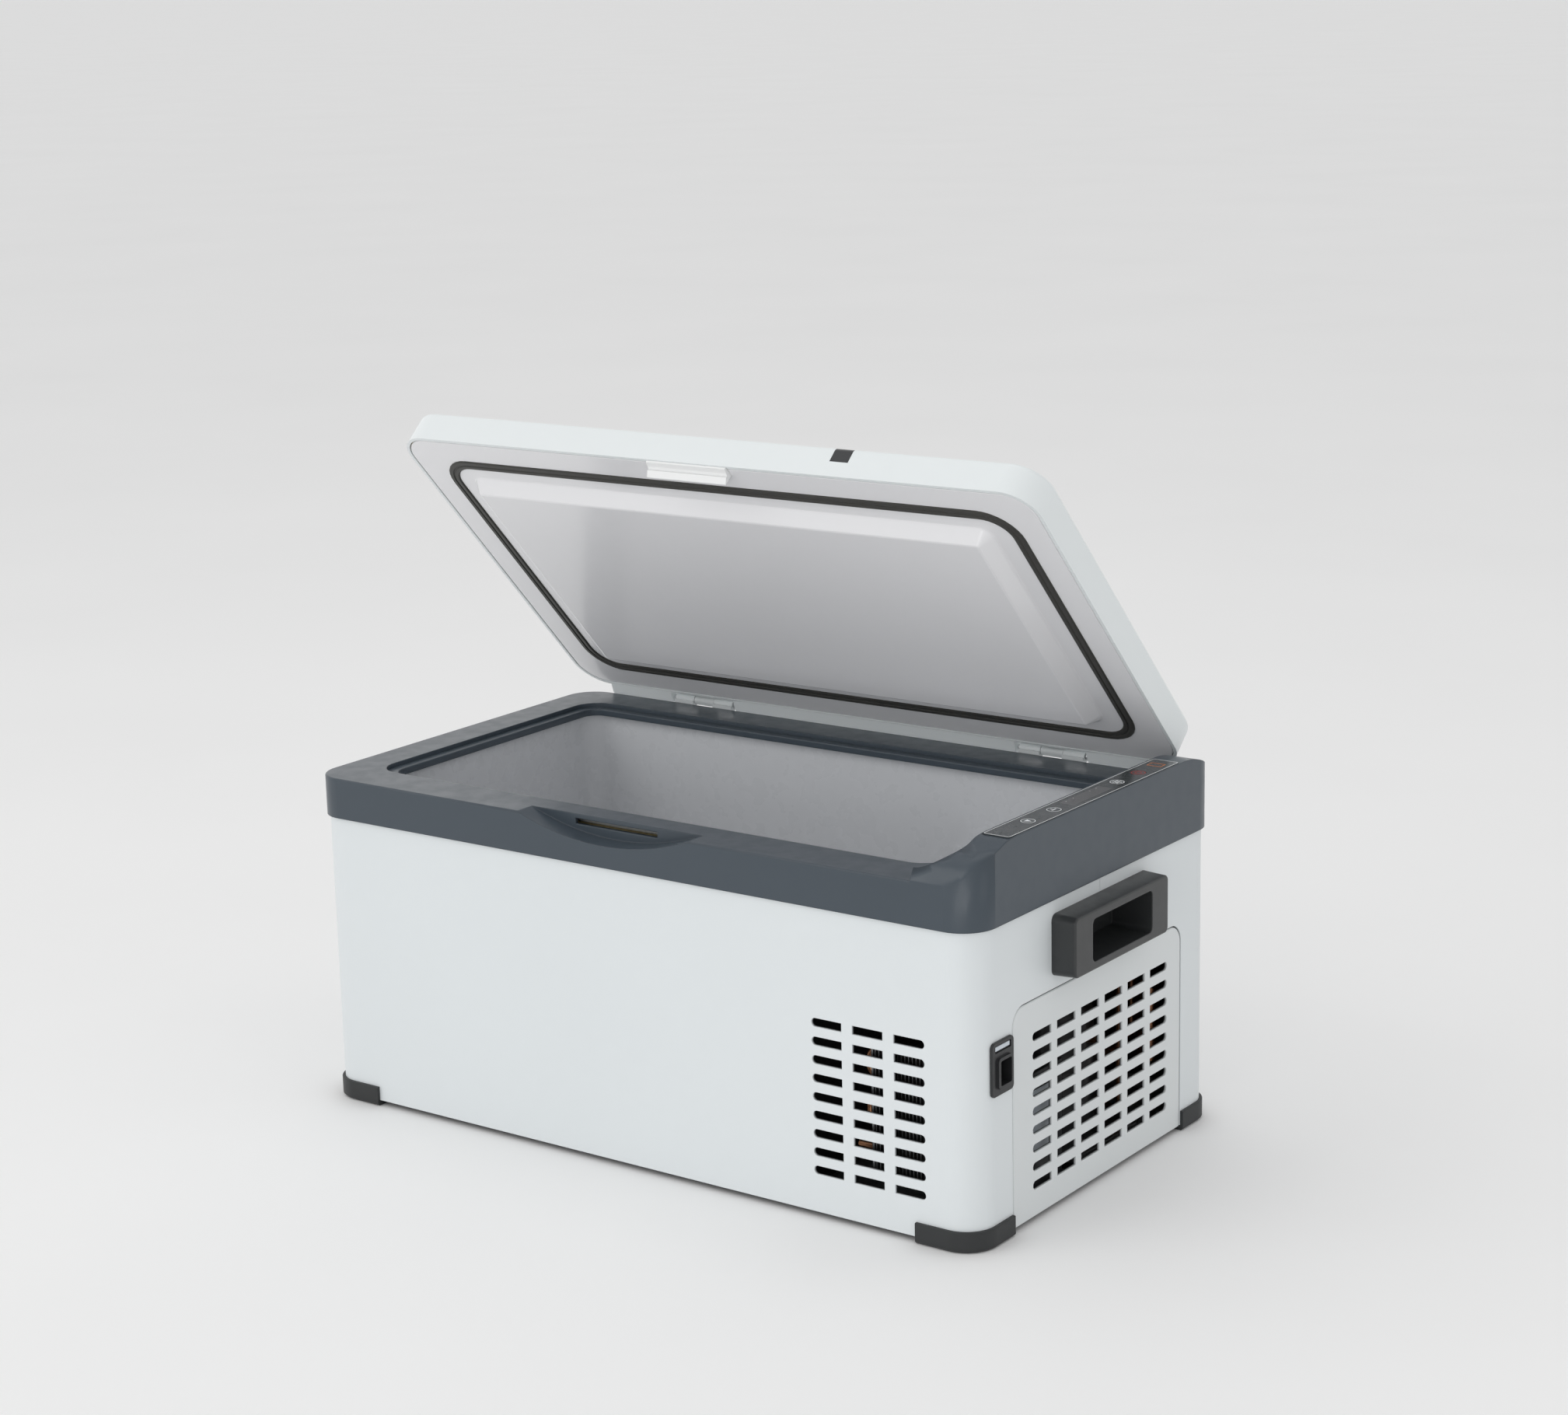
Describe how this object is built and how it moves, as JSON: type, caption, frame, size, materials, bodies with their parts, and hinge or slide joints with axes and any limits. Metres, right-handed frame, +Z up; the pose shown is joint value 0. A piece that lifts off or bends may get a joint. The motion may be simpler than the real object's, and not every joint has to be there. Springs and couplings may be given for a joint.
{
  "type": "compressor cooler fridge",
  "caption": "Portable compressor cooler box for caravans: hinged insulated lid, lined compartment, vented compressor end, carry handles, top controls and a side power socket.",
  "frame": {"origin": "below the middle of the whole box that holds the object with its lid open, level with the undersides of the feet", "axes": "+X along the length towards the compressor and control end, +Y towards the hinge side, -Y is the front with the latch, +Z up"},
  "size_m": [0.6062, 0.3366, 0.4992],
  "materials": {
    "shell_light_grey": "matte",
    "collar_slate": "matte",
    "panel_light_grey": "matte",
    "handle_black": "matte",
    "foot_rubber": "matte",
    "lid_white": "satin",
    "liner_grey": "matte",
    "lid_liner_grey": "matte",
    "seal_rubber": "matte",
    "hook_white": "satin",
    "trim_black": "satin",
    "overlay_graphite": "satin",
    "display_glass": "gloss",
    "key_graphite": "satin",
    "board_green": "satin",
    "foam": "matte",
    "evaporator_alu": "satin",
    "lens_clear": "satin",
    "inlet_black": "matte",
    "pin_nickel": "polished",
    "pan_grey": "matte",
    "steel_zinc": "satin",
    "compressor_black": "satin",
    "copper": "satin",
    "fin_alu": "satin",
    "fan_black": "satin",
    "module_white": "matte",
    "mount_rubber": "matte"
  },
  "bodies": {
    "base": {"front_shell": "shell_light_grey", "rear_shell": "shell_light_grey", "side_vent_panel": "panel_light_grey", "base_pan": "pan_grey", "collar": "collar_slate", "control_overlay": "overlay_graphite", "display_window": "display_glass", "control_board": "board_green", "liner_tub": "liner_grey", "evaporator_plate": "evaporator_alu", "foam_insulation": "foam", "light_lens": "lens_clear", "handle_right": "handle_black", "handle_left": "handle_black", "handle_screws": "steel_zinc", "foot_screws": "steel_zinc", "power_inlet": "inlet_black", "inlet_pins": "pin_nickel", "rubber_mounts": "mount_rubber", "mounting_plate": "steel_zinc", "mount_bolts": "steel_zinc", "compressor": "compressor_black", "terminal_cover": "fan_black", "condenser_fins": "fin_alu", "condenser_tube": "copper", "fan_shroud": "fan_black", "fan_motor": "fan_black", "power_module": "module_white", "filter_drier": "copper", "suction_pipe": "copper", "discharge_pipe": "copper", "drier_pipe": "copper", "hinge_body_leaves": "steel_zinc", "hinge_pins": "steel_zinc", "hinge_screws": "steel_zinc", "foot_front_left": "foot_rubber", "foot_front_right": "foot_rubber", "foot_rear_left": "foot_rubber", "foot_rear_right": "foot_rubber"},
    "lid": {"lid_shell": "lid_white", "lid_trim_strip": "trim_black", "lid_liner": "lid_liner_grey", "lid_gasket": "seal_rubber", "lid_foam": "foam", "latch_hook": "hook_white", "hinge_lid_leaves": "steel_zinc", "hinge_lid_screws": "steel_zinc"},
    "fan": {"fan_rotor": "fan_black"},
    "key_mode_body": {"key_mode": "key_graphite"},
    "key_minus_body": {"key_minus": "key_graphite"},
    "key_plus_body": {"key_plus": "key_graphite"},
    "key_power_body": {"key_power": "key_graphite"}
  },
  "joints": [
    {"name": "lid_hinge", "type": "hinge", "parent": "base", "child": "lid", "pos_m": [0, 0.1572, 0.2505], "axis": [-1, 0, 0], "range_deg": [-47, 43]},
    {"name": "fan_spin", "type": "hinge", "parent": "base", "child": "fan", "pos_m": [0.23, -0.1223, 0.086], "axis": [0, 1, 0], "continuous": true},
    {"name": "key_mode_press", "type": "slide", "parent": "base", "child": "key_mode_body", "axis": [0, 0, -1], "range_m": [0, 0.0006], "stiffness_N_per_m": 800},
    {"name": "key_minus_press", "type": "slide", "parent": "base", "child": "key_minus_body", "axis": [0, 0, -1], "range_m": [0, 0.0006], "stiffness_N_per_m": 800},
    {"name": "key_plus_press", "type": "slide", "parent": "base", "child": "key_plus_body", "axis": [0, 0, -1], "range_m": [0, 0.0006], "stiffness_N_per_m": 800},
    {"name": "key_power_press", "type": "slide", "parent": "base", "child": "key_power_body", "axis": [0, 0, -1], "range_m": [0, 0.0006], "stiffness_N_per_m": 800}
  ]
}
